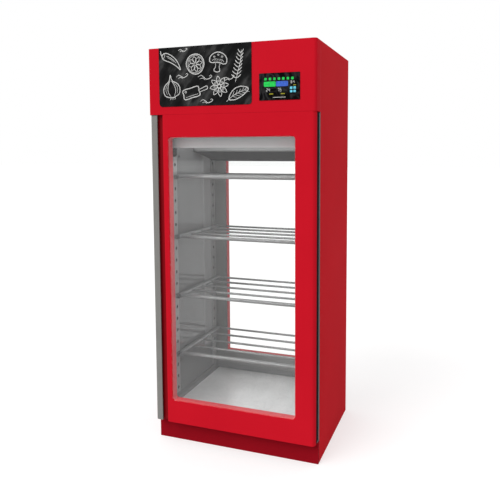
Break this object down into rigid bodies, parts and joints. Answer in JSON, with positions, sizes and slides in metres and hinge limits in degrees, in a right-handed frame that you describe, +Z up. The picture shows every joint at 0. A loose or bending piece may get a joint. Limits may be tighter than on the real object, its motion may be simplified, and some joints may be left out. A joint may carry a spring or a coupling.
{
  "type": "dry aging cabinet",
  "caption": "Tall upright cabinet with a glazed hinged door, glazed rear wall, tube shelves on slotted posts and a cooling unit, for ageing meat.",
  "frame": {"origin": "centre of the footprint on the floor", "axes": "+Z up, +X to the right seen from the front, front door faces -Y"},
  "size_m": [0.9, 0.6672, 2.08],
  "materials": {
    "plinth_front": "satin enamel",
    "plinth_rear": "satin enamel",
    "base_rail_left": "galvanised",
    "base_rail_right": "galvanised",
    "side_skin_left": "satin enamel",
    "side_skin_right": "satin enamel",
    "header_front": "satin enamel",
    "header_roof": "satin enamel",
    "header_rear_panel": "satin enamel",
    "menu_board": "matt slate with chalk drawing",
    "display_housing": "matt",
    "display_glass": "gloss",
    "floor_panel": "foam panel in coated sheet",
    "floor_liner": "fine brushed",
    "ceiling_panel": "foam panel in stainless sheet",
    "side_wall_left": "foam panel in stainless sheet",
    "side_wall_right": "foam panel in stainless sheet",
    "rear_wall": "foam panel in enamelled sheet",
    "rear_liner": "satin stainless",
    "rear_glass_outer": "clear",
    "rear_glass_inner": "clear",
    "valance": "satin stainless",
    "lamp_bar": "opal",
    "probe_box": "matt",
    "evaporator_fascia": "satin stainless",
    "evaporator_pan": "satin stainless",
    "evaporator_coil": "finned",
    "fan_plate": "satin stainless",
    "evaporator_fan_left": "matt",
    "evaporator_fan_right": "matt",
    "compressor": "black enamel",
    "condenser_coil": "finned",
    "condenser_shroud": "galvanised",
    "condenser_fan": "matt",
    "control_box": "galvanised",
    "door_skin": "satin enamel",
    "door_core": "matt edge trim",
    "door_frame": "grey powder coat",
    "door_grip": "grey anodised",
    "door_glass_outer": "clear",
    "door_glass_inner": "clear",
    "door_gasket": "matt",
    "hinge_bracket_top": "galvanised",
    "hinge_bracket_bottom": "galvanised",
    "pilaster_front_left": "satin stainless",
    "pilaster_front_right": "satin stainless",
    "pilaster_rear_left": "satin stainless",
    "pilaster_rear_right": "satin stainless",
    "runner_1_left": "satin stainless",
    "runner_1_right": "satin stainless",
    "shelf_1": "bright stainless tube",
    "runner_2_left": "satin stainless",
    "runner_2_right": "satin stainless",
    "shelf_2": "bright stainless tube",
    "runner_3_left": "satin stainless",
    "runner_3_right": "satin stainless",
    "shelf_3": "bright stainless tube",
    "runner_4_left": "satin stainless",
    "runner_4_right": "satin stainless",
    "shelf_4": "bright stainless tube"
  },
  "bodies": {
    "cabinet": {"plinth_front": "plinth_front", "plinth_rear": "plinth_rear", "base_rail_left": "base_rail_left", "base_rail_right": "base_rail_right", "side_skin_left": "side_skin_left", "side_skin_right": "side_skin_right", "header_front": "header_front", "header_roof": "header_roof", "header_rear_panel": "header_rear_panel", "menu_board": "menu_board", "display_housing": "display_housing", "display_glass": "display_glass", "floor_panel": "floor_panel", "floor_liner": "floor_liner", "ceiling_panel": "ceiling_panel", "side_wall_left": "side_wall_left", "side_wall_right": "side_wall_right", "rear_wall": "rear_wall", "rear_liner": "rear_liner", "rear_glass_outer": "rear_glass_outer", "rear_glass_inner": "rear_glass_inner", "valance": "valance", "lamp_bar": "lamp_bar", "probe_box": "probe_box", "evaporator_fascia": "evaporator_fascia", "evaporator_pan": "evaporator_pan", "evaporator_coil": "evaporator_coil", "fan_plate": "fan_plate", "compressor": "compressor", "condenser_coil": "condenser_coil", "condenser_shroud": "condenser_shroud", "control_box": "control_box", "hinge_bracket_top": "hinge_bracket_top", "hinge_bracket_bottom": "hinge_bracket_bottom", "pilaster_front_left": "pilaster_front_left", "pilaster_front_right": "pilaster_front_right", "pilaster_rear_left": "pilaster_rear_left", "pilaster_rear_right": "pilaster_rear_right", "runner_1_left": "runner_1_left", "runner_1_right": "runner_1_right", "runner_2_left": "runner_2_left", "runner_2_right": "runner_2_right", "runner_3_left": "runner_3_left", "runner_3_right": "runner_3_right", "runner_4_left": "runner_4_left", "runner_4_right": "runner_4_right"},
    "front_door": {"door_skin": "door_skin", "door_core": "door_core", "door_frame": "door_frame", "door_grip": "door_grip", "door_glass_outer": "door_glass_outer", "door_glass_inner": "door_glass_inner", "door_gasket": "door_gasket"},
    "shelf_1_body": {"shelf_1": "shelf_1"},
    "shelf_2_body": {"shelf_2": "shelf_2"},
    "shelf_3_body": {"shelf_3": "shelf_3"},
    "shelf_4_body": {"shelf_4": "shelf_4"},
    "evaporator_fan_left_rotor": {"evaporator_fan_left": "evaporator_fan_left"},
    "evaporator_fan_right_rotor": {"evaporator_fan_right": "evaporator_fan_right"},
    "condenser_fan_rotor": {"condenser_fan": "condenser_fan"}
  },
  "joints": [
    {"name": "door_hinge", "type": "hinge", "parent": "cabinet", "child": "front_door", "pos_m": [0.433, -0.29535, 0.117], "axis": [0, 0, 1], "range_deg": [0, 105]},
    {"name": "shelf_1_slide", "type": "slide", "parent": "cabinet", "child": "shelf_1_body", "axis": [0, -1, 0], "range_m": [0, 0.06]},
    {"name": "shelf_2_slide", "type": "slide", "parent": "cabinet", "child": "shelf_2_body", "axis": [0, -1, 0], "range_m": [0, 0.06]},
    {"name": "shelf_3_slide", "type": "slide", "parent": "cabinet", "child": "shelf_3_body", "axis": [0, -1, 0], "range_m": [0, 0.06]},
    {"name": "shelf_4_slide", "type": "slide", "parent": "cabinet", "child": "shelf_4_body", "axis": [0, -1, 0], "range_m": [0, 0.06]},
    {"name": "evaporator_fan_left_spin", "type": "hinge", "parent": "cabinet", "child": "evaporator_fan_left_rotor", "pos_m": [-0.13, 0.05865, 1.64], "axis": [0, 1, 0], "continuous": true},
    {"name": "evaporator_fan_right_spin", "type": "hinge", "parent": "cabinet", "child": "evaporator_fan_right_rotor", "pos_m": [0.13, 0.05865, 1.64], "axis": [0, 1, 0], "continuous": true},
    {"name": "condenser_fan_spin", "type": "hinge", "parent": "cabinet", "child": "condenser_fan_rotor", "pos_m": [0.23, 0.07195, 1.885], "axis": [0, 1, 0], "continuous": true}
  ]
}
